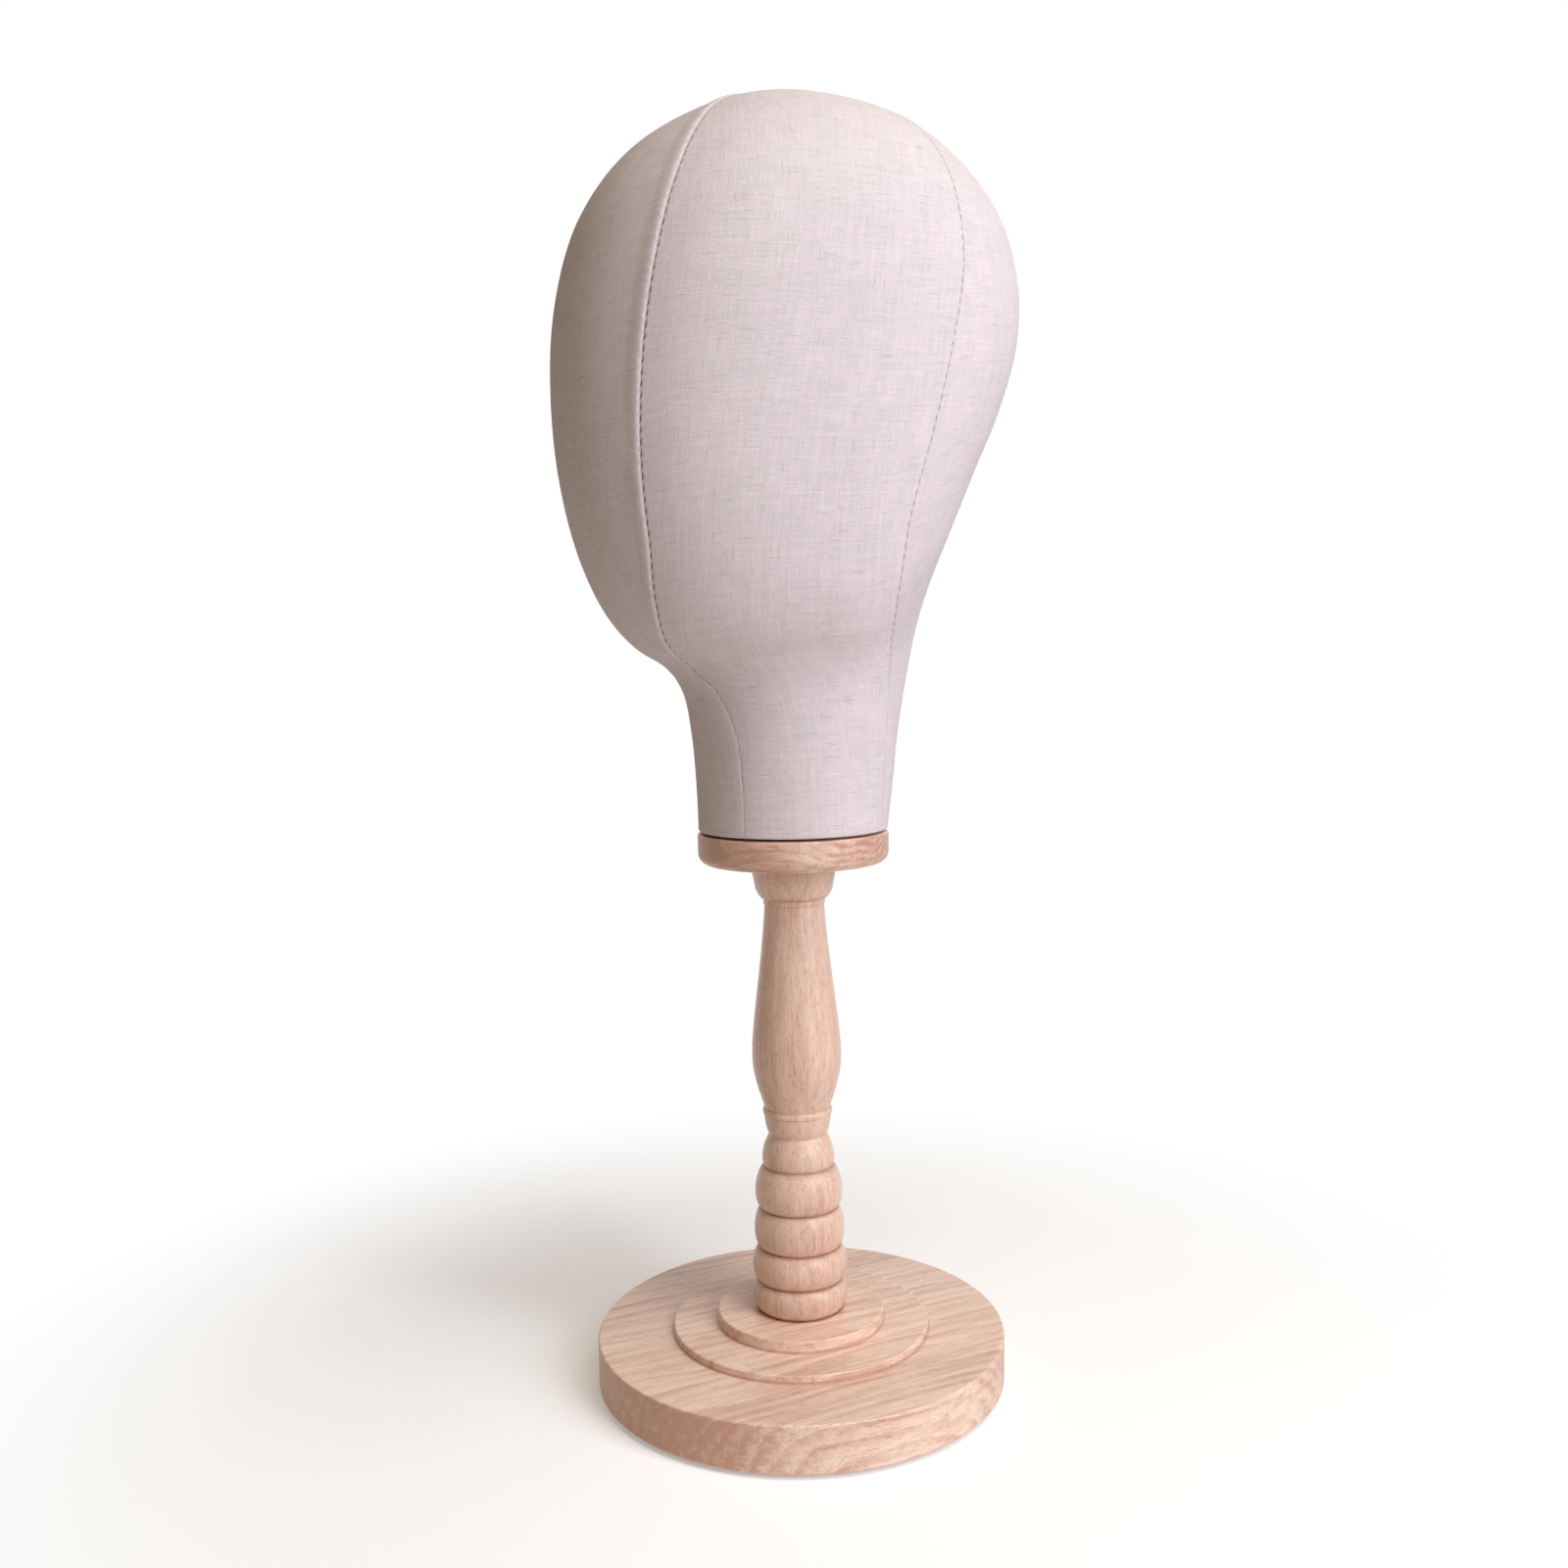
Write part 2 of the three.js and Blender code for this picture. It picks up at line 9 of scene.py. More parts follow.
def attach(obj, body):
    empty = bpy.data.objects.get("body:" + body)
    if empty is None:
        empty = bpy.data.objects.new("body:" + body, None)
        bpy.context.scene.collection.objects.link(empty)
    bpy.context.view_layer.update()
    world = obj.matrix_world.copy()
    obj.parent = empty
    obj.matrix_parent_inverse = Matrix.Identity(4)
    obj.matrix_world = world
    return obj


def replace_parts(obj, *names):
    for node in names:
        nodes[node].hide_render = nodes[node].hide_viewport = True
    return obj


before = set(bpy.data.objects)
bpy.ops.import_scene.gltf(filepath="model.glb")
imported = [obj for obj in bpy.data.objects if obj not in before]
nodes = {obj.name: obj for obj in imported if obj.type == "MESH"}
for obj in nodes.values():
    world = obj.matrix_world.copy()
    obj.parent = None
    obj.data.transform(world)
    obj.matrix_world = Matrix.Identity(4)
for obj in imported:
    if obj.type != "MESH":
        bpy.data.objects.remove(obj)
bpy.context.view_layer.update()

# A display head for hats and wigs on a turned wooden stand. Source sizes are in millimetres,
# with heights measured from the underside of the base board, which stands LIFT above the floor.
LIFT = 1.8
MM = 0.001


def metres(points):
    points = np.asarray(points, dtype=float).reshape(-1, 3)
    return (points + (0, 0, LIFT)) * MM


# The camera, at the photograph's angle. Its bearing is measured round from the face, and its
# focal length and width are in the photograph's pixels.
BEARING, DISTANCE, HEIGHT = math.radians(72), 0.64908, 0.31788
PITCH, ROLL, YAW = math.radians(4.68), math.radians(-0.96), math.radians(0.315)
SENSOR, FOCAL, WIDTH = 36, 1530, 1600


def photo_camera():
    data = bpy.data.cameras.new("photo_camera")
    data.sensor_width = SENSOR
    data.lens = SENSOR * FOCAL / WIDTH
    camera = bpy.data.objects.new("photo_camera", data)
    bpy.context.scene.collection.objects.link(camera)
    turn = (
        Matrix.Rotation(BEARING + YAW, 4, "Z")
        @ Matrix.Rotation(math.pi / 2 - PITCH, 4, "X")
        @ Matrix.Rotation(ROLL, 4, "Z")
    )
    place = (DISTANCE * math.sin(BEARING), -DISTANCE * math.cos(BEARING), HEIGHT)
    camera.matrix_world = Matrix.Translation(place) @ turn
    bpy.context.scene.camera = camera


photo_camera()


# Node graphs

class Graph:
    """A material's node tree, with one short call for each kind of node it uses."""

    def __init__(self, name):
        self.material = bpy.data.materials.new(name)
        self.material.use_nodes = True
        self.tree = self.material.node_tree
        self.shader = self.tree.nodes["Principled BSDF"]

    def node(self, kind, settings=None, **inputs):
        node = self.tree.nodes.new("ShaderNode" + kind)
        for name, value in (settings or {}).items():
            setattr(node, name, value)
        for name, value in inputs.items():
            self.put(node, name, value)
        return node

    def put(self, node, name, value):
        """Sets or links an input, called by its name or by its number, as in i0."""
        numbered = name[0] == "i" and name[1:].isdigit()
        socket = node.inputs[int(name[1:]) if numbered else name.replace("_", " ")]
        if isinstance(value, bpy.types.NodeSocket):
            self.tree.links.new(value, socket)
        elif value is not None:
            socket.default_value = value

    def math(self, operation, a, b=None, c=None, clamp=False):
        settings = {"operation": operation, "use_clamp": clamp}
        return self.node("Math", settings, i0=a, i1=b, i2=c).outputs[0]

    def plus(self, a, b, clamp=False):
        return self.math("ADD", a, b, clamp=clamp)

    def minus(self, a, b):
        return self.math("SUBTRACT", a, b)

    def times(self, a, b, clamp=False):
        return self.math("MULTIPLY", a, b, clamp=clamp)

    def vector(self, operation, a, b=None):
        node = self.node("VectorMath", {"operation": operation}, i0=a, i1=b)
        return node.outputs["Value" if operation in ("DOT_PRODUCT", "LENGTH") else "Vector"]

    def dot(self, a, b):
        return self.vector("DOT_PRODUCT", a, b)

    def scaled(self, vector, factor):
        """The vector times one number, or times three numbers, one for each axis."""
        factors = factor if isinstance(factor, tuple) else (factor, factor, factor)
        return self.vector("MULTIPLY", vector, factors)

    def combine(self, x, y, z=0.0):
        return self.node("CombineXYZ", i0=x, i1=y, i2=z).outputs[0]

    def split(self, vector):
        return self.node("SeparateXYZ", i0=vector).outputs

    def noise(self, vector, detail=2.0, roughness=0.5, distortion=0.0):
        node = self.node("TexNoise", Vector=vector, Scale=1.0, Detail=detail,
                         Roughness=roughness, Distortion=distortion)
        return node.outputs["Fac"]

    def between(self, value, low, high, to_low=0.0, to_high=1.0):
        """value as it goes smoothly from low to high, as a number from to_low to to_high."""
        node = self.node("MapRange", {"interpolation_type": "SMOOTHSTEP"}, i0=value, i1=low,
                         i2=high, i3=to_low, i4=to_high)
        return node.outputs[0]

    def blend(self, factor, a, b, kind="MIX"):
        settings = {"data_type": "RGBA", "blend_type": kind}
        return self.node("Mix", settings, i0=factor, i6=a, i7=b).outputs[2]

    def scale_colour(self, colour, factor):
        grey = self.combine(factor, factor, factor)
        return self.blend(1.0, colour, grey, "MULTIPLY")

    def place(self):
        """The point of the piece in millimetres, at rest."""
        return self.scaled(self.node("TexCoord").outputs["Object"], 1000)

    def bump(self, height, distance):
        return self.node("Bump", Strength=1.0, Distance=distance, Height=height).outputs[0]

    def finish(self, **inputs):
        for name, value in inputs.items():
            self.put(self.shader, name, value)
        return self.material


def rgb(r, g, b):
    return (r, g, b, 1.0)


# Radius and height of the grooves between the beads of the post, and of the inner corners on the
# base: at the foot of its two steps and at the foot of the post.
GROOVES = ((18.3, 43.0), (17.6, 57.9), (16.9, 75.5), (15.2, 94.2))
STEPS = ((56.5, 20.5), (36.8, 24.0), (18.6, 29.5))


# Wood. The boards' growth rings are cylinders about a line along the grain, so the end grain
# shows arcs and the faces show long streaks, all from one solid pattern. Glued-up boards are cut
# at the joints, and each board has its own rings.

# GLUE is the glue lines' colour. The second colour is the painted shade, with some varnish
# gathered there, in the inner corners.
GLUE, CORNER_SHADE_AND_VARNISH = rgb(0.42, 0.24, 0.16), rgb(0.42, 0.21, 0.14)
# How far each board's pattern is moved on along, across and through it.
BOARD_SHIFT = (61.7, -35.0, -9.0)


def wood(name, along, across, through, pith, pale, dark, joints=(), rings=0.3, streak=0.3,
         end_grain=0.45, rough=0.36, coat=0.6, ring=3.4, pores=0.62, painted_shade_side=None, stepped=None,
         corners=(), seed=0.0):
    """Varnished wood, by the directions of its grain and the middle of its rings.

    rings, streak, end_grain and pores say how dark those marks are, and ring how wide a year's
    growth is. One side, given as a direction, is painted darker: painted shade on the side turned
    from the key light. Above the height stepped the end grain fades. Round the corners the colour
    darkens: painted shade, with some varnish gathered there.
    """
    g = Graph(name)
    place = g.place()
    u, v, w = (g.dot(place, axis) for axis in (along, across, through))
    up = g.dot(place, (0, 0, 1))
    board, glue = 0.0, 0.0
    for joint in joints:
        past = g.minus(v, joint)
        board = g.plus(board, g.math("GREATER_THAN", past, 0.0))
        glue = g.plus(glue, g.between(g.math("ABSOLUTE", past), 0.3, 0.1))
    u, v, w = (g.plus(side, g.times(board, shift))
               for side, shift in zip((u, v, w), BOARD_SHIFT))
    u = g.plus(u, seed)

    def grain(fine_along, fine_across, detail=2.0, roughness=0.55, offset=0.0):
        spot = g.combine(g.times(u, fine_along), g.math("MULTIPLY_ADD", v, fine_across, offset),
                         g.times(w, fine_across))
        return g.noise(spot, detail, roughness)

    # The rings waver in two ways, widely along the board and finely from ring to ring. Each one
    # darkens slowly and ends sharply.
    from_pith = [g.minus(side, middle) for side, middle in zip((v, w), pith)]
    radius = g.math("SQRT", g.plus(*(g.times(side, side) for side in from_pith)))
    radius = g.plus(radius, g.times(grain(0.008, 0.03), 20.0))
    radius = g.plus(radius, g.times(grain(0.03, 0.16, offset=7.0), 2.6))
    phase = g.math("FRACT", g.math("DIVIDE", radius, ring))
    late = g.times(g.between(phase, 0.2, 0.9), g.between(phase, 1.0, 0.9))
    late = g.times(late, g.between(grain(0.014, 0.07, offset=53.0), 0.32, 0.62, 0.15, 1.0))

    fibre = grain(0.05, 1.2, detail=3.0, roughness=0.6)
    band = grain(0.012, 0.3, detail=3.0, offset=19.0)
    fine = grain(0.16, 4.2, roughness=0.6)
    pore = g.between(grain(0.17, 2.4, detail=1.0, offset=31.0), 0.6, 0.7)
    cloud = grain(0.02, 0.09)

    facing = g.math("ABSOLUTE", g.dot(g.node("TexCoord").outputs["Normal"], along))
    end = g.between(facing, 0.4, 0.9)
    if stepped:
        end = g.times(end, g.between(up, stepped, stepped + 1.0, 1.0, 0.1))
    speckle = g.times(end, g.between(grain(0.9, 1.7, offset=43.0), 0.52, 0.66))

    shade = g.times(late, rings)
    marks = (
        (g.between(fibre, 0.4, 0.75), 0.3),
        (g.between(band, 0.38, 0.68), streak),
        (g.between(cloud, 0.35, 0.75), 0.22),
        (pore, pores),
        (end, end_grain),
        (speckle, 0.22),
    )
    for amount, reach in marks:
        shade = g.math("MULTIPLY_ADD", amount, reach, shade)
    # Painted shade: the piece is painted darker towards one side, the side turned from the key
    # light.
    if painted_shade_side:
        shade = g.plus(shade, g.between(g.dot(place, painted_shade_side), -30.0, 34.0, -0.12, 0.55))
    colour = g.blend(g.times(shade, 1.0, clamp=True), rgb(*pale), rgb(*dark))
    colour = g.scale_colour(colour, g.between(fine, 0.3, 0.7, 0.94, 1.06))
    if joints:
        tint = g.noise(g.combine(g.times(board, 3.7), seed), detail=0.0)
        colour = g.scale_colour(colour, g.between(tint, 0.3, 0.7, 0.95, 1.05))
        colour = g.blend(g.times(glue, 0.35), colour, GLUE)
    out = g.vector("LENGTH", g.scaled(place, (1, 1, 0)))
    # Painted shade round the inner corners, with some varnish gathered there: the colour darkens
    # near each corner.
    for corner, level in corners:
        near = g.combine(g.minus(out, corner), g.minus(up, level + LIFT))
        corner_shade_and_varnish = g.between(g.vector("LENGTH", near), 0.3, 1.4, 0.6, 0.0)
        colour = g.blend(corner_shade_and_varnish, colour, CORNER_SHADE_AND_VARNISH)

    height = g.minus(g.times(fibre, 0.6), g.plus(pore, speckle))
    roughness = g.plus(g.between(fine, 0.3, 0.7, rough - 0.05, rough + 0.07),
                       g.times(g.plus(pore, end), 0.18))
    return g.finish(Base_Color=colour, Roughness=roughness, Specular_IOR_Level=0.3,
                    Coat_Weight=coat, Coat_Roughness=0.42, Normal=g.bump(height, 0.00009))


GRAIN = Vector((-0.163, 0.986, 0)).normalized()
ACROSS = Vector((GRAIN.y, -GRAIN.x, 0))
base_wood = wood(
    "base_wood", GRAIN, ACROSS, (0, 0, 1), pith=(34.0, -26.0), pale=(0.93, 0.69, 0.55),
    dark=(0.6, 0.325, 0.22), joints=(-44.0, 52.0), rings=0.42, streak=0.36, end_grain=0.6,
    ring=5.6, pores=0.46, stepped=LIFT + 20.0, corners=STEPS)
post_wood = wood(
    "post_wood", (0, 0, 1), (1, 0, 0), (0, 1, 0), pith=(-46.0, 38.0), pale=(0.8, 0.555, 0.43),
    dark=(0.48, 0.23, 0.14), rings=0.12, streak=0.22, pores=0.42, corners=GROOVES, seed=31.0)
disc_wood = wood(
    "disc_wood", (0.53, 0.848, 0), (0.848, -0.53, 0), (0, 0, 1), pith=(20.0, 270.0),
    pale=(0.84, 0.6, 0.475), dark=(0.5, 0.25, 0.155), rings=0.4, painted_shade_side=(-0.309, -0.951, 0),
    seed=77.0)
plug_wood = wood(
    "plug_wood", (1, 0, 0), (0, 1, 0), (0, 0, 1), pith=(0.0, 200.0), pale=(0.6, 0.46, 0.31),
    dark=(0.42, 0.3, 0.19), rough=0.75, coat=0.0, seed=12.0)


# Linen. The "weave" attribute of a panel holds millimetres across and up its cloth, and how dark
# a seam's painted shadow is there, from 0 to 1, by how far the seam stands open.

THREAD_PITCH = 0.44
WANDER = 0.9
LINEN_COLOUR, STRAY_COLOUR = rgb(0.732, 0.637, 0.632), rgb(0.43, 0.35, 0.3)


def linen():
    g = Graph("linen")
    across, up, seam_shadow = g.split(g.node("Attribute", {"attribute_name": "weave"}).outputs["Vector"])

    def pattern(x, y, fine_x, fine_y, seed, detail, roughness):
        return g.noise(g.combine(g.times(x, fine_x), g.times(y, fine_y), seed), detail, roughness)

    wander = pattern(across, up, 0.11, 0.11, 0.0, 1.0, 0.5)
    x = g.plus(across, g.times(wander, WANDER))
    y = g.plus(up, g.times(wander, WANDER))

    def streaks(fine_x, fine_y, seed, detail=2.0):
        return pattern(x, y, fine_x, fine_y, seed, detail, 0.6)

    def thread(side, way):
        over = g.math("ABSOLUTE", g.math("SINE", g.times(side, math.pi / THREAD_PITCH)))
        crossing = g.math("SINE", g.times(way, math.pi / THREAD_PITCH))
        return g.math("ABSOLUTE", g.times(over, crossing))

    cloth = g.plus(thread(x, y), thread(y, x))
    slub_up, slub_across = streaks(1.5, 0.1, 3.0), streaks(0.1, 1.5, 9.0)
    long_up, long_across = streaks(0.6, 0.022, 41.0), streaks(0.022, 0.6, 47.0)
    stray_up, stray_across = streaks(1.7, 0.13, 17.0, 0.0), streaks(0.11, 1.7, 23.0, 0.0)
    fuzz = pattern(across, up, 1.9, 1.9, 5.0, 3.0, 0.7)
    patch = pattern(across, up, 0.07, 0.07, 61.0, 2.0, 0.5)
    stray = g.plus(g.between(stray_up, 0.73, 0.83), g.between(stray_across, 0.71, 0.82),
                   clamp=True)

    tone = 1.0
    shades = ((slub_up, 0.042), (slub_across, 0.052), (long_up, 0.03), (long_across, 0.028),
              (fuzz, 0.044), (patch, 0.018))
    for noise, reach in shades:
        tone = g.plus(tone, g.between(noise, 0.25, 0.75, -reach, reach))
    tone = g.times(tone, g.between(cloth, 0.0, 1.2, 0.955, 1.01))
    # Painted shadow: the cloth is painted darker where a seam stands open.
    tone = g.times(tone, g.math("MULTIPLY_ADD", seam_shadow, -0.45, 1.0))
    colour = g.scale_colour(LINEN_COLOUR, tone)
    colour = g.blend(g.times(stray, 0.4), colour, STRAY_COLOUR)

    height = g.times(cloth, 0.35)
    for noise, reach in ((slub_up, 0.9), (slub_across, 1.0), (fuzz, 1.3), (stray, 0.5)):
        height = g.plus(height, g.times(noise, reach))
    return g.finish(Base_Color=colour, Roughness=0.95, Specular_IOR_Level=0.2,
                    Normal=g.bump(height, 0.00012))


linen_cloth = linen()


# Hidden and small pieces

def metal(name, tint, rough, stretch):
    """Plated steel, with fine marks that run round the axis and a mottled finish."""
    g = Graph(name)
    place = g.place()
    marks = g.noise(g.scaled(place, stretch), detail=3.0, roughness=0.7)
    mottle = g.noise(g.scaled(place, 0.35), detail=3.0)
    duller = rgb(*(0.82 * t for t in tint))
    colour = g.blend(g.between(mottle, 0.35, 0.7), rgb(*tint), duller)
    roughness = g.plus(g.between(marks, 0.3, 0.7, rough - 0.06, rough + 0.1),
                       g.between(mottle, 0.4, 0.7, 0.0, 0.06))
    return g.finish(Base_Color=colour, Metallic=1.0, Roughness=roughness,
                    Normal=g.bump(marks, 0.00004))


def felt():
    g = Graph("felt")
    place = g.place()
    fibres = g.noise(g.scaled(place, 2.2), detail=4.0, roughness=0.75, distortion=1.5)
    fuzz = g.noise(g.scaled(place, 6.0))
    colour = g.blend(g.between(fibres, 0.3, 0.7), rgb(0.1, 0.082, 0.07), rgb(0.2, 0.165, 0.14))
    height = g.plus(fibres, g.times(fuzz, 0.5))
    return g.finish(Base_Color=colour, Roughness=0.95, Sheen_Weight=0.3,
                    Normal=g.bump(height, 0.0004))


def moulded_shell():
    g = Graph("form_shell")
    place = g.place()
    mat = g.noise(g.scaled(place, 0.5), detail=4.0, roughness=0.7, distortion=0.8)
    grain = g.noise(g.scaled(place, 3.0))
    colour = g.blend(g.between(mat, 0.35, 0.65), rgb(0.62, 0.58, 0.48), rgb(0.52, 0.47, 0.36))
    return g.finish(Base_Color=colour, Roughness=g.between(grain, 0.3, 0.7, 0.6, 0.78),
                    Normal=g.bump(mat, 0.0003))


steel = metal("steel", (0.46, 0.47, 0.48), 0.3, (1.5, 1.5, 9.0))
zinc = metal("zinc", (0.52, 0.49, 0.42), 0.38, (2.5, 2.5, 6.0))
finishes = (
    (felt(), ("base_pad_1", "base_pad_2", "base_pad_3", "base_pad_4")),
    (steel, ("base_bolt", "hanger_stud")),
    (zinc, ("base_washer", "foot_insert", "post_insert", "tee_nut",
            "disc_screw_1", "disc_screw_2", "disc_screw_3")),
    (plug_wood, ("neck_plug",)),
    (moulded_shell(), ("head_core",)),
)
for finish, names in finishes:
    for name in names:
        nodes[name].data.materials.clear()
        nodes[name].data.materials.append(finish)


# Meshes

# Edges sharper than this stay sharp in the smooth shading, on turned pieces and on cloth.
TURNED_CORNER, CLOTH_CORNER = 32, 60
ON_AXIS = 1e-6


def mark_corners(mesh, angle):
    work = bmesh.new()
    work.from_mesh(mesh)
    for edge in work.edges:
        edge.smooth = edge.calc_face_angle(0.0) < math.radians(angle)
    work.to_mesh(mesh)
    work.free()


def add_object(name, points, faces, material, corner):
    mesh = bpy.data.meshes.new(name)
    mesh.from_pydata(metres(points).tolist(), [], faces)
    mesh.materials.append(material)
    mesh.polygons.foreach_set("use_smooth", [True] * len(mesh.polygons))
    piece = bpy.data.objects.new(name, mesh)
    bpy.context.scene.collection.objects.link(piece)
    mark_corners(mesh, corner)
    return piece


class Profile:
    """An outline in radius and height, drawn from point to point."""

    def __init__(self, radius, height):
        self.points = [np.array((radius, height), dtype=float)]

    def line(self, radius, height):
        self.points.append(np.array((radius, height), dtype=float))
        return self

    def curve(self, *controls, steps=18):
        """A Bezier curve from the last point to the last control."""
        knots = [self.points[-1], *(np.array(c, dtype=float) for c in controls)]
        for i in range(1, steps + 1):
            level, t = knots, i / steps
            while len(level) > 1:
                level = [a + (b - a) * t for a, b in zip(level, level[1:])]
            self.points.append(level[0])
        return self

    def arc(self, centre, radius, start, end, steps=6):
        for i in range(1, steps + 1):
            angle = math.radians(start + (end - start) * i / steps)
            x, y = centre[0] + radius * math.cos(angle), centre[1] + radius * math.sin(angle)
            self.points.append(np.array((x, y)))
        return self

    def bead(self, radius, height, swell, steps=20):
        """One turned bead that swells to a radius between two grooves.

        The curve comes three quarters of the way out to its two handles.
        """
        start = self.points[-1]
        bulge = (swell - (start[0] + radius) / 2) / 0.75
        shoulder = 0.13 * (height - start[1])
        handles = (start[0] + bulge, start[1] + shoulder), (radius + bulge, height - shoulder)
        return self.curve(*handles, (radius, height), steps=steps)


def lathe(name, profile, material, sides=144):
    """A closed solid of revolution; a profile point on the axis becomes one pole."""
    points, faces, circles = [], [], []
    for radius, height in profile.points:
        if radius < ON_AXIS:
            circles.append([len(points)])
            points.append((0.0, 0.0, height))
        else:
            circles.append(list(range(len(points), len(points) + sides)))
            turn = np.arange(sides) * 2 * math.pi / sides
            points += list(zip(radius * np.cos(turn), radius * np.sin(turn), [height] * sides))
    pairs = list(zip(circles, circles[1:]))
    if len(circles[0]) > 1:
        pairs.append((circles[-1], circles[0]))
    for low, high in pairs:
        for i in range(sides):
            j = (i + 1) % sides
            if len(low) == 1:
                faces.append((low[0], high[j], high[i]))
            elif len(high) == 1:
                faces.append((low[i], low[j], high[0]))
            else:
                faces.append((low[i], low[j], high[j], high[i]))
    return add_object(name, points, faces, material, TURNED_CORNER)


# The stand

BASE_RADIUS = 90
# The bore for the bolt, and the wider one for its head, up to a height.
BOLT_BORE, HEAD_BORE, HEAD_ROOM = 4.5, 11, 12
POST_FOOT, POST_TOP, INSERT_BORE = 29.8, 228.6, 6.3
SWELLS = (21.0, 20.9, 19.9, 19.2)
DISC_RADIUS, DISC_BOTTOM, DISC_TOP, DISC_BORE = 41.5, 228.9, 242.3, 5
SCREW_CIRCLE, SCREWS = 24, 3


def base_profile():
    foot, rim, edge, hollow = 1.2, 1.0, 0.8, 0.25
    board, top = STEPS[0][1], STEPS[-1][1]
    p = Profile(HEAD_BORE, 0).line(BASE_RADIUS - foot, 0)
    p.arc((BASE_RADIUS - foot, foot), foot, -90, 0)
    p.line(BASE_RADIUS, board - rim).arc((BASE_RADIUS - rim, board - rim), rim, 0, 90)
    for (radius, bottom), (_, above) in zip(STEPS, STEPS[1:]):
        p.line(radius + hollow, bottom)
        p.arc((radius + hollow, bottom + hollow), hollow, -90, -180, steps=3)
        p.line(radius, above - edge).arc((radius - edge, above - edge), edge, 0, 90)
    return p.line(BOLT_BORE, top).line(BOLT_BORE, HEAD_ROOM).line(HEAD_BORE, HEAD_ROOM)


def post_profile():
    # Up the bores in the foot, out and up the turned outside, and down the bores in the top.
    bolt_end, foot_seat, top_seat, stud_end = POST_FOOT + 30.6, POST_FOOT + 20.6, 213.3, 205.6
    p = Profile(0, bolt_end).line(BOLT_BORE, bolt_end).line(BOLT_BORE, foot_seat)
    p.line(INSERT_BORE, foot_seat).line(INSERT_BORE, POST_FOOT).line(18.1, POST_FOOT)
    for (groove, height), swell in zip(GROOVES, SWELLS):
        p.bead(groove, height, swell)
    # The shoulder and waist, the cone under the thin ring, the ring, and the vase and its neck.
    p.curve((16.9, 98.0), (15.6, 103.0), (12.7, 108.4))
    p.curve((14.3, 111.0), (14.8, 117.3))
    p.bead(14.5, 120.5, 15.3, steps=12)
    p.curve((16.5, 127.0), (19.65, 134.5), (19.65, 144.0), steps=24)
    p.curve((19.65, 158.0), (14.4, 186.0), (13.1, 210.6), steps=36)
    # The fillet, the ovolo and the collar.
    p.line(13.5, 211.0).line(13.5, 213.0)
    p.curve((15.6, 213.8), (17.0, 217.8), steps=12)
    p.line(18.2, 224.6).line(18.2, POST_TOP - 0.4)
    p.arc((17.8, POST_TOP - 0.4), 0.4, 0, 90, steps=4)
    p.line(INSERT_BORE, POST_TOP).line(INSERT_BORE, top_seat)
    return p.line(BOLT_BORE, top_seat).line(BOLT_BORE, stud_end).line(0, stud_end)


def disc_profile():
    lower, upper = 5, 0.9
    p = Profile(DISC_BORE, DISC_BOTTOM).line(DISC_RADIUS - lower, DISC_BOTTOM)
    p.arc((DISC_RADIUS - lower, DISC_BOTTOM + lower), lower, -90, 0, steps=14)
    p.line(DISC_RADIUS, DISC_TOP - upper)
    p.arc((DISC_RADIUS - upper, DISC_TOP - upper), upper, 0, 90)
    return p.line(DISC_BORE, DISC_TOP)


def bored(piece, cutters):
    """The piece with the cutters' solids taken out of it."""
    for cutter in cutters:
        tool = piece.modifiers.new("bore", "BOOLEAN")
        tool.operation, tool.solver, tool.object = "DIFFERENCE", "EXACT", cutter
    bpy.context.view_layer.update()
    evaluated = piece.evaluated_get(bpy.context.evaluated_depsgraph_get())
    mesh = bpy.data.meshes.new_from_object(evaluated)
    piece.modifiers.clear()
    piece.data = mesh
    for cutter in cutters:
        bpy.data.objects.remove(cutter)
    mark_corners(mesh, TURNED_CORNER)
    return piece


def screw_bore(angle):
    """A bore through the disc for one screw, countersunk from below."""
    head, shank, start, end = 4.3, 2.3, 228.6, 243.0
    p = Profile(0, start).line(head, start).line(head, 229.3)
    p.line(shank, 231.3).line(shank, end).line(0, end)
    bore = lathe("bore", p, disc_wood, sides=48)
    reach = SCREW_CIRCLE * MM
    bore.location = (reach * math.cos(angle), reach * math.sin(angle), 0)
    return bore


base = lathe("base_turned", base_profile(), base_wood, sides=192)
post = lathe("post_turned", post_profile(), post_wood)
disc = bored(lathe("neck_disc_turned", disc_profile(), disc_wood, sides=160),
             [screw_bore(i * 2 * math.pi / SCREWS) for i in range(SCREWS)])
for piece, node, body in ((base, "base", "stand"), (post, "post", "stand"),
                          (disc, "neck_disc", "head")):
    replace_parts(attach(piece, body), node)


# The head form: at each station the reach and height of the face, the ear and the nape, and the
# angles of the two seams from the face. The last station mirrors the one before the crown.

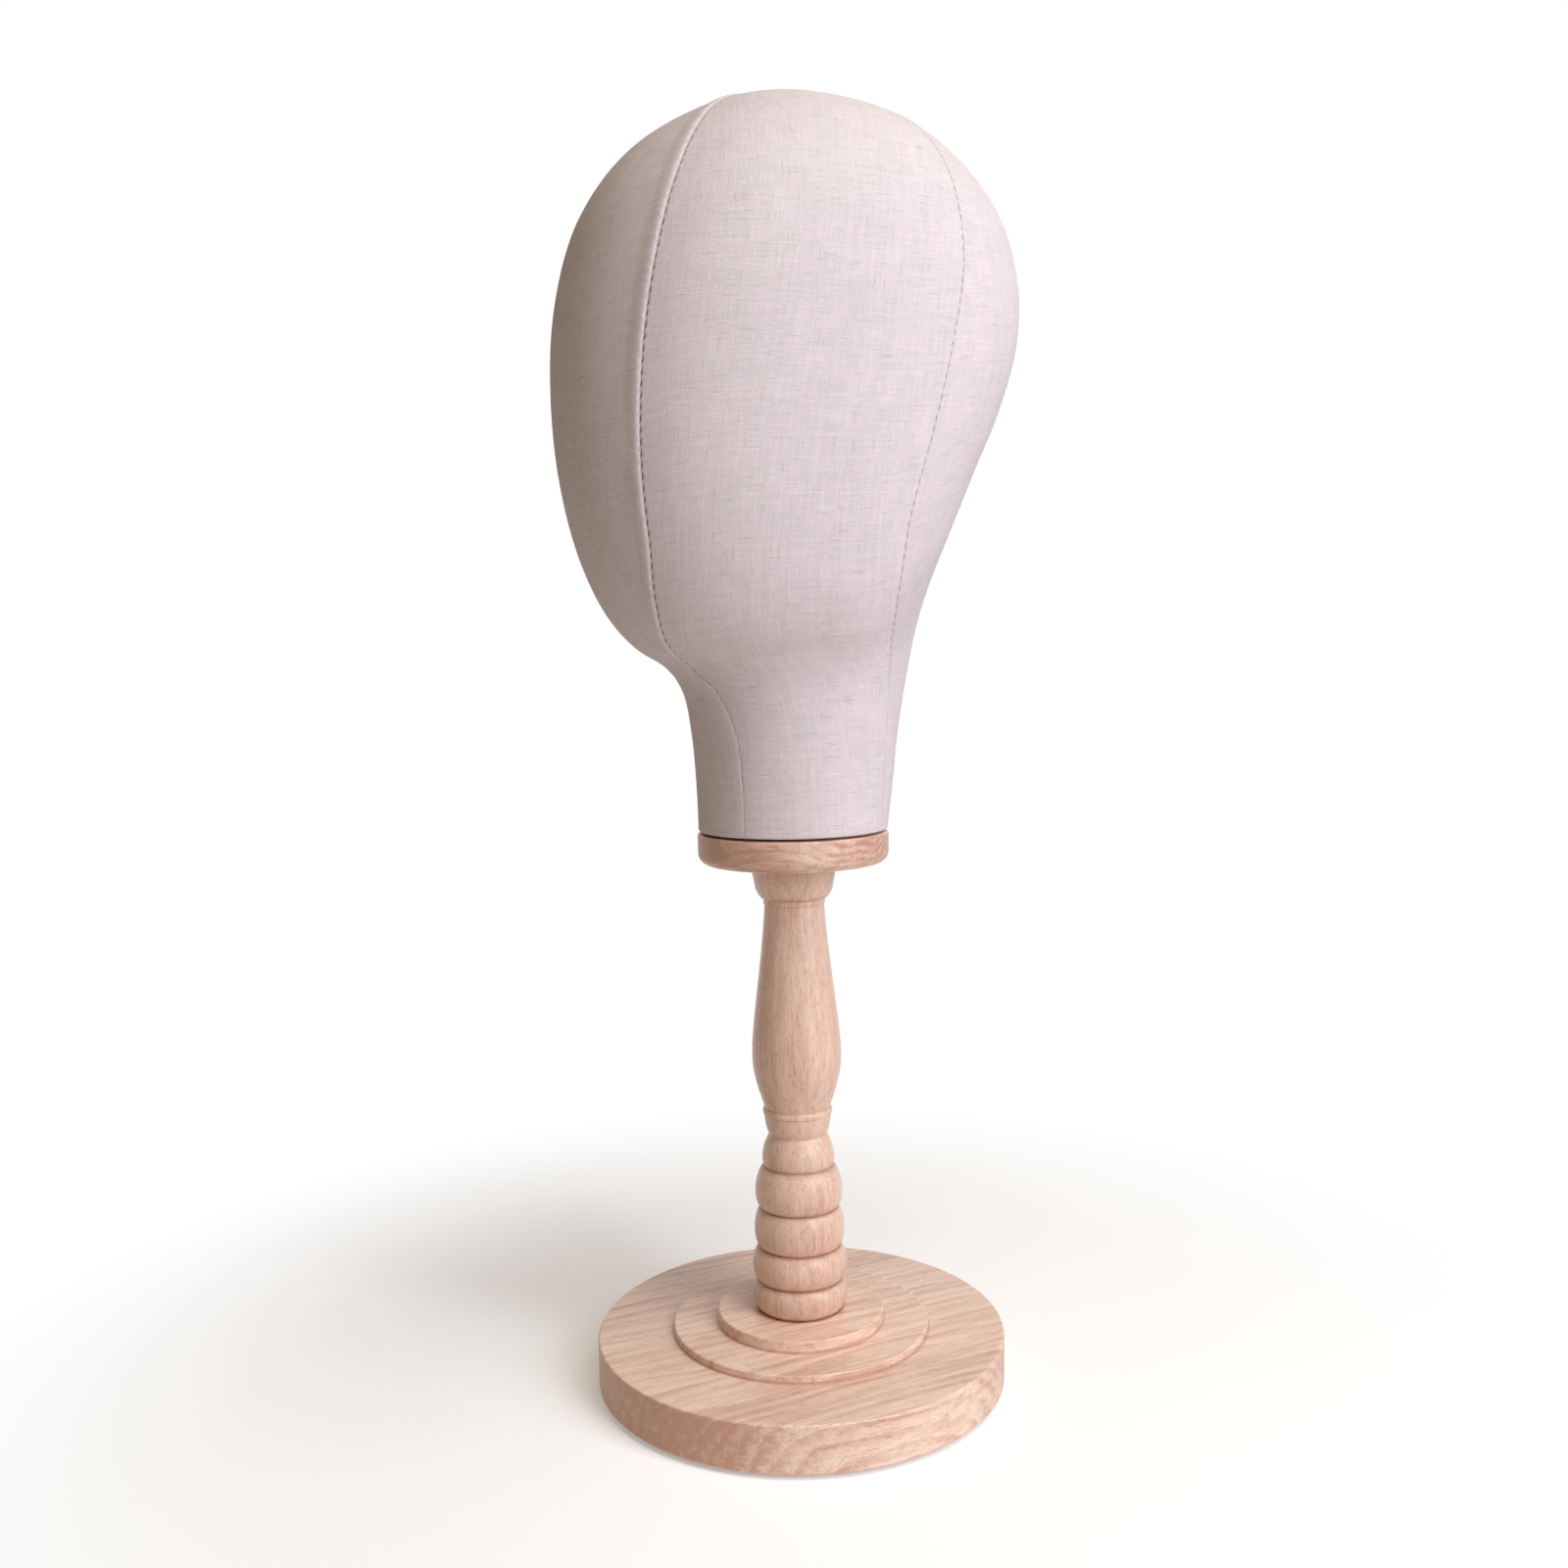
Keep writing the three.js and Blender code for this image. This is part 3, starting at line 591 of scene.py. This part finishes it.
STATIONS = np.array([
    (41.0, 244.5, 41.0, 244.5, 41.2, 244.5, 42.6, 138.0),
    (41.5, 262.0, 41.3, 262.0, 43.7, 262.0, 43.0, 134.5),
    (43.0, 284.0, 43.0, 286.0, 46.5, 286.0, 41.0, 133.0),
    (46.3, 303.0, 46.0, 308.0, 50.7, 311.0, 31.0, 128.0),
    (53.0, 314.0, 50.5, 317.5, 55.2, 334.0, 21.5, 122.0),
    (65.5, 322.0, 59.0, 328.0, 61.0, 356.0, 25.0, 116.0),
    (77.0, 335.0, 66.5, 343.0, 69.0, 377.0, 32.0, 111.8),
    (88.0, 358.0, 72.3, 369.0, 79.0, 398.0, 38.7, 110.5),
    (96.2, 392.0, 76.2, 402.0, 91.9, 424.0, 41.8, 113.3),
    (98.8, 430.0, 78.0, 436.0, 100.4, 450.0, 44.5, 116.5),
    (96.3, 463.0, 78.0, 468.0, 101.4, 472.0, 47.0, 120.0),
    (87.0, 495.0, 72.5, 498.0, 94.8, 498.0, 48.8, 122.5),
    (69.8, 519.5, 60.0, 521.5, 78.0, 521.5, 48.4, 127.5),
    (45.8, 536.3, 41.5, 538.2, 56.5, 538.2, 45.5, 133.5),
    (22.0, 545.0, 20.5, 546.0, 29.0, 546.2, 45.0, 135.0),
    (0.0, 547.7, 0.0, 547.7, 0.0, 547.7, 45.0, 135.0),
    (-22.0, 545.0, -20.5, 546.0, -29.0, 546.2, 45.0, 135.0),
])
SEAM_ANGLES = STATIONS[:, 6:8]
# The cloth's top row lies just short of the crown's point.
CROWN = len(STATIONS) - 2
TOP = CROWN - 0.03
# How much squarer than an oval the front and back are, and the stations between which it shows.
SQUARE_FACE, SQUARE_NAPE, SQUARE_FROM, SQUARE_TO = 0.35, 0.08, 2, 14
TOUCHING = 1e-4


def through(points, u):
    """A centripetal Catmull-Rom curve through the points, one for each whole number u."""
    ends = np.vstack([2 * points[0] - points[1], points, 2 * points[-1] - points[-2]])
    i = np.clip(np.floor(u).astype(int), 0, len(points) - 2)
    w = (u - i)[:, None]
    p0, p1, p2, p3 = (ends[i + k] for k in range(4))

    def span(a, b):
        return np.linalg.norm(b - a, axis=1)[:, None] ** 0.5

    d0, d1, d2 = span(p0, p1), span(p1, p2), span(p2, p3)
    d1 = np.where(d1 < TOUCHING, 1.0, d1)
    d0 = np.where(d0 < TOUCHING, d1, d0)
    d2 = np.where(d2 < TOUCHING, d1, d2)
    t1 = ((p1 - p0) / d0 - (p2 - p0) / (d0 + d1) + (p2 - p1) / d1) * d1
    t2 = ((p2 - p1) / d1 - (p3 - p1) / (d1 + d2) + (p3 - p2) / d2) * d1
    square, cube = -3 * p1 + 3 * p2 - 2 * t1 - t2, 2 * p1 - 2 * p2 + t1 + t2
    return p1 + t1 * w + square * w**2 + cube * w**3


def rings(u):
    """The face, ear and nape curves at the heights u, and the corner sharpness there."""
    along = np.clip((u - SQUARE_FROM) / (SQUARE_TO - SQUARE_FROM), 0, 1)
    curves = [through(STATIONS[:, k:k + 2], u)[:, None] for k in (0, 2, 4)]
    return [*curves, np.sin(np.pi * along)[:, None]]


def form(ring, degrees):
    """Points of the head's surface at angles from the face towards its left, row by row."""
    face, ear, nape, along = ring
    sine, cosine = np.sin(np.radians(degrees)), np.cos(np.radians(degrees))
    front = cosine > 0
    end = np.where(front[..., None], face, nape)
    power = 2 / (2 + np.where(front, SQUARE_FACE, SQUARE_NAPE) * along)
    x = np.sign(sine) * ear[..., 0] * np.abs(sine) ** power
    y = -np.sign(cosine) * end[..., 0] * np.abs(cosine) ** power
    z = ear[..., 1] + (end[..., 1] - ear[..., 1]) * cosine**2
    return np.stack([x, y, z], -1)


def form_normal(u, degrees):
    """The way out of the surface, from points a little to each side, above and below."""
    across = form(rings(u), degrees + 1) - form(rings(u), degrees - 1)
    above, below = np.minimum(u + 0.05, TOP + 0.02), np.maximum(u - 0.05, 0)
    upward = form(rings(above), degrees) - form(rings(below), degrees)
    normal = np.cross(across, upward)
    return normal / np.linalg.norm(normal, axis=-1, keepdims=True)


def climb(points):
    """Distance travelled from row to row, along one column."""
    return np.r_[0, np.cumsum(np.linalg.norm(np.diff(points, axis=0), axis=1))]


def seam_climbs(u):
    """How far up each of the two seams the heights u are."""
    seams = through(SEAM_ANGLES, u)
    return [climb(form(rings(u), seams[:, k:k + 1])[:, 0]) for k in (0, 1)]


def row_heights(step):
    """Values of u whose rings are a step apart, measured up the seams."""
    u = np.linspace(0, TOP, 4000)
    length = sum(seam_climbs(u)) / 2
    count = int(length[-1] / step)
    return np.interp(np.linspace(0, length[-1], count + 1), length, u)


ROWS = row_heights(0.53)
SEAMS = through(SEAM_ANGLES, ROWS)
SEAM_LENGTH = seam_climbs(ROWS)

# Relief beside a seam: the distance from it and the height of the cloth there, midway between
# stitches and at a stitch, where the cloth is drawn down and closed.
STITCH = 4.25
SEAM_COLUMNS = np.array([0, 0.16, 0.34, 0.58, 0.95, 1.5, 2.4, 3.6, 4.8, 6.0, 7.4, 9.4])
FOLDED = {
    "open": np.array([-0.8, -0.36, 0.0, 0.26, 0.5, 0.7, 0.68, 0.58, 0.42, 0.2, 0.06, 0]),
    "drawn": np.array([0.06, 0.09, 0.15, 0.25, 0.42, 0.58, 0.62, 0.56, 0.42, 0.2, 0.06, 0]),
    "slant": 0.35,
}
FLAT = {
    "open": np.array([-0.8, -0.5, -0.18, 0.0, 0.06, 0.07, 0.04, 0.02, 0, 0, 0, 0]),
    "drawn": np.array([0.03, 0.03, 0.03, 0.04, 0.05, 0.05, 0.04, 0.02, 0, 0, 0, 0]),
    "slant": -0.35,
}
# How strong the relief is at stations up the head, and on the front and back seams.
SEAM_FADE = ([0, 2.6, 3.6, 4.6, 13.6, 15], [0.22, 0.3, 0.7, 1, 1, 0.35])
FRONT, BACK = 0, 1
SEAM_STRENGTH = (1.0, 0.42)
# How far from a seam its painted shadow reaches, and how far apart the panels' edges and the seam
# are.
SEAM_SHADOW_REACH, EDGE = 0.6, 0.06
# Panels narrower than this, near the crown, have smaller seams.
NARROW = 34

# The low, wide swelling along a front seam: its height at the seam and at its crest, how far it
# reaches over the face, how far off the crest lies on the side, and where it ends there.
RIDGE, CREST = 1.5, 1.9
FACE_REACH, CREST_AT, SIDE_REACH = 20, 14, 75
CREASE_FADE = ([4.5, 6.5, 8, 10.5, 12, 13.5, 14.5], [0, 0.5, 1, 0.9, 0.4, 0.08, 0])


def crease(distance, folded):
    """Height of the swelling at a distance from the front seam, steeper on the face's side."""
    if folded:
        rise = RIDGE * (1 - distance / FACE_REACH).clip(0) ** 2
    else:
        past = (distance - CREST_AT) / (SIDE_REACH - CREST_AT)
        near = np.sin(math.pi / 2 * (distance / CREST_AT).clip(0, 1)) ** 2
        far = np.cos(math.pi / 2 * past.clip(0, 1)) ** 2
        rise = (RIDGE + (CREST - RIDGE) * near) * far
    return rise * np.interp(ROWS, *CREASE_FADE)[:, None]


def seam_relief(which, side):
    """Heights for every row and seam column, and how far the seam stands open in every row."""
    lean = side["slant"] * (1 - SEAM_COLUMNS / 3).clip(0)
    phase = (SEAM_LENGTH[which][:, None] + lean) / STITCH
    drawn = np.clip(1.15 + 1.4 * (np.cos(2 * np.pi * phase) - 0.55), 0, 1)
    relief = side["open"] * (1 - drawn) + side["drawn"] * drawn
    fade = np.interp(ROWS, *SEAM_FADE) * SEAM_STRENGTH[which]
    return relief * fade[:, None], (1 - drawn[:, :1]) * fade[:, None]


# Each panel's name, its node, the angles it spans, the seam at each end and how its cloth lies
# there, and how many spaces its columns leave between the two.
PANELS = [
    ("face", "face_panel", (360 - SEAMS[:, 0], SEAMS[:, 0] + 360), (FRONT, FRONT),
     (FOLDED, FOLDED), 20),
    ("left", "left_panel", (SEAMS[:, 0], SEAMS[:, 1]), (FRONT, BACK), (FLAT, FLAT), 24),
    ("back", "back_panel", (SEAMS[:, 1], 360 - SEAMS[:, 1]), (BACK, BACK),
     (FOLDED, FOLDED), 30),
    ("right", "right_panel", (360 - SEAMS[:, 1], 360 - SEAMS[:, 0]), (BACK, FRONT),
     (FLAT, FLAT), 24),
]


def panel_grid(limits, which, sides, middle):
    """The panel's angles, relief, place across its cloth and painted seam shadow in every row and
    column.

    The last is the panel's width in every row.
    """
    start, end = limits
    angles = start[:, None] + (end - start)[:, None] * np.linspace(0, 1, 121)
    path = form(rings(ROWS), angles)
    steps = np.linalg.norm(np.diff(path, axis=1), axis=2)
    travelled = np.concatenate([np.zeros((len(ROWS), 1)), np.cumsum(steps, axis=1)], axis=1)
    width = travelled[:, -1]
    shrink = np.minimum(1, width / NARROW)[:, None]
    near = SEAM_COLUMNS[None] * shrink + EDGE
    inner = np.linspace(0, 1, middle + 1)[1:-1]
    span = width - 2 * near[:, -1]
    distance = np.concatenate([
        near, near[:, -1:] + span[:, None] * inner, width[:, None] - near[:, ::-1]], axis=1)
    grid = np.stack([np.interp(d, t, a) for d, t, a in zip(distance, travelled, angles)])
    rise, opening = zip(*(seam_relief(w, s) for w, s in zip(which, sides)))
    relief = np.concatenate(
        [rise[0], np.zeros((len(ROWS), middle - 1)), rise[1][:, ::-1]], axis=1)
    relief *= shrink
    # The painted shadow of each seam, strongest where it stands open and fading away from it.
    seam_shadow = np.zeros_like(distance)
    for i, away in enumerate((distance, width[:, None] - distance)):
        seam_shadow += opening[i] * (1 - away / SEAM_SHADOW_REACH).clip(0)
        if which[i] == FRONT:
            relief += crease(away, sides[i] is FOLDED)
    return grid, relief, distance - width[:, None] / 2, seam_shadow, width


# The hem's height above the source's zero, the radius it is turned in to, its thickness, the
# round at its foot, how wide the turned-in cloth is and how much cloth the round takes.
HEM, TURN_IN, THICKNESS, HEM_ROUND = 243.3, 29.0, 1.0, 1.2
HEM_IN, HEM_ARC, HEM_STEPS = 14.0, 1.9, 6


def hem_rows(rim, inside):
    """The rounded hem, from where it is turned in above the disc up to the rim."""
    reach = np.linalg.norm(rim[:, :2], axis=1)
    flat = rim[:, :2] / reach[:, None]
    if inside:
        level, slack = THICKNESS, 0.05
        rounded = [
            (reach - HEM_ROUND - slack + share * (HEM_ROUND - THICKNESS), level + slack * share)
            for share in np.linspace(0, 1, HEM_STEPS)]
    else:
        level = 0.0
        rounded = [
            (reach - HEM_ROUND + HEM_ROUND * math.sin(angle), HEM_ROUND * (1 - math.cos(angle)))
            for angle in np.radians(np.arange(0, 90, 90 // HEM_STEPS))]
    rows = [(np.full_like(reach, TURN_IN), level), *rounded]
    return [np.column_stack([flat * r[:, None], np.full(len(r), HEM + h)]) for r, h in rows]


def closed_sheet(outer, inner):
    """Points and faces of a sheet between two grids of points, closed round its four edges."""
    rows, columns = outer.shape[:2]
    points = np.concatenate([outer.reshape(-1, 3), inner.reshape(-1, 3)])
    out = np.arange(rows * columns).reshape(rows, columns)
    back = out + rows * columns

    def quads(a, b, c, d):
        return np.stack([a, b, c, d], -1).reshape(-1, 4)

    faces = [
        quads(out[:-1, :-1], out[:-1, 1:], out[1:, 1:], out[1:, :-1]),
        quads(back[:-1, :-1], back[1:, :-1], back[1:, 1:], back[:-1, 1:]),
        quads(out[:-1, 0], out[1:, 0], back[1:, 0], back[:-1, 0]),
        quads(out[:-1, -1], back[:-1, -1], back[1:, -1], out[1:, -1]),
        quads(out[0, :-1], back[0, :-1], back[0, 1:], out[0, 1:]),
        quads(out[-1, :-1], out[-1, 1:], back[-1, 1:], back[-1, :-1]),
    ]
    return points, np.concatenate(faces).tolist()


def cloth_panel(name, node, limits, which, sides, middle):
    angles, relief, across, seam_shadow, width = panel_grid(limits, which, sides, middle)
    surface = form(rings(ROWS), angles)
    normal = form_normal(ROWS, angles)
    hem_out, hem_in = hem_rows(surface[0], False), hem_rows(surface[0], True)
    outer = np.concatenate([np.stack(hem_out), surface + normal * relief[..., None]])
    inner = np.concatenate([np.stack(hem_in), surface - normal * THICKNESS])
    points, faces = closed_sheet(outer, inner)
    piece = add_object(f"{name}_linen", points, faces, linen_cloth, CLOTH_CORNER)

    up = climb(surface[:, surface.shape[1] // 2])
    extra = len(hem_out)
    below = np.r_[-HEM_IN, -HEM_ARC * (1 - np.arange(extra - 1) / (extra - 1))]
    weave = np.stack([
        np.concatenate([np.repeat(across[:1], extra, 0), across]),
        np.repeat(np.r_[below, up][:, None], across.shape[1], 1),
        np.concatenate([np.repeat(seam_shadow[:1], extra, 0), seam_shadow]),
    ], -1)
    held = piece.data.attributes.new("weave", "FLOAT_VECTOR", "POINT")
    held.data.foreach_set("vector", np.concatenate([weave, weave]).astype(np.float32).ravel())

    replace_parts(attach(piece, "head"), node)


for panel in PANELS:
    cloth_panel(*panel)


# Light, floor and background

# The height the lights are aimed at, and how far off they stand, in metres.
AIM, LIGHT_DISTANCE = 0.36, 1.7
# The floor shows its shadow up to the first distance, and is white past the second.
SHADOW_NEAR, SHADOW_FAR = 0.16, 0.42


def soft_light(name, azimuth, elevation, size, power, colour):
    data = bpy.data.lights.new(name, "AREA")
    data.shape = "RECTANGLE"
    data.size, data.size_y = size
    data.energy, data.color = power, colour
    light = bpy.data.objects.new(name, data)
    bpy.context.scene.collection.objects.link(light)
    a, e = math.radians(azimuth), math.radians(elevation)
    away = Vector((math.cos(e) * math.sin(a), -math.cos(e) * math.cos(a), math.sin(e)))
    light.location = Vector((0, 0, AIM)) + away * LIGHT_DISTANCE
    light.rotation_euler = away.to_track_quat("Z", "Y").to_euler()


def white_to_eye(tree, lit, surface):
    """What the eye and mirrors see of a backdrop is its surface; the light it sends is lit."""
    path = tree.nodes.new("ShaderNodeLightPath")
    seen = path.outputs["Is Camera Ray"]
    for name in ("Is Glossy Ray", "Is Transmission Ray"):
        either = tree.nodes.new("ShaderNodeMath")
        either.operation = "MAXIMUM"
        tree.links.new(seen, either.inputs[0])
        tree.links.new(path.outputs[name], either.inputs[1])
        seen = either.outputs[0]
    mix = tree.nodes.new("ShaderNodeMixShader")
    for i, source in enumerate((seen, lit, surface)):
        tree.links.new(source, mix.inputs[i])
    return mix.outputs[0]


def studio_world():
    world = bpy.data.worlds.new("studio")
    world.use_nodes = True
    bpy.context.scene.world = world
    tree = world.node_tree
    ambient = tree.nodes["Background"]
    ambient.inputs["Color"].default_value = rgb(1.0, 0.72, 0.47)
    ambient.inputs["Strength"].default_value = 0.21
    white = tree.nodes.new("ShaderNodeBackground")
    white.inputs["Color"].default_value = rgb(1, 1, 1)
    out = white_to_eye(tree, ambient.outputs[0], white.outputs[0])
    tree.links.new(out, tree.nodes["World Output"].inputs[0])


def floor():
    """A pale floor that keeps the shadow near the object and runs out to white further off."""
    bpy.ops.mesh.primitive_circle_add(vertices=96, radius=3.0, fill_type="NGON")
    plane = bpy.context.object
    plane.name = "floor"
    plane.location.z = -0.0002
    g = Graph("floor")
    g.tree.nodes.remove(g.shader)
    diffuse = g.node("BsdfDiffuse", Color=rgb(0.88, 0.87, 0.86)).outputs[0]
    glow = g.node("Emission", Color=rgb(1, 1, 1), Strength=0.28).outputs[0]
    near = g.node("AddShader", i0=diffuse, i1=glow).outputs[0]
    white = g.node("Emission", Color=rgb(1, 1, 1), Strength=1.0).outputs[0]
    away = g.vector("LENGTH", g.node("TexCoord").outputs["Object"])
    far = g.between(away, SHADOW_NEAR, SHADOW_FAR)
    seen = g.node("MixShader", i0=far, i1=near, i2=white).outputs[0]
    out = white_to_eye(g.tree, diffuse, seen)
    g.tree.links.new(out, g.tree.nodes["Material Output"].inputs[0])
    plane.data.materials.append(g.material)


studio_world()
floor()
soft_light("key", 118, 21, (1.0, 1.2), 25.8, (0.8, 0.85, 1.0))
soft_light("high", 116, 62, (1.0, 1.0), 14.0, (0.95, 1.0, 0.88))
bpy.context.scene.view_settings.view_transform = "Standard"
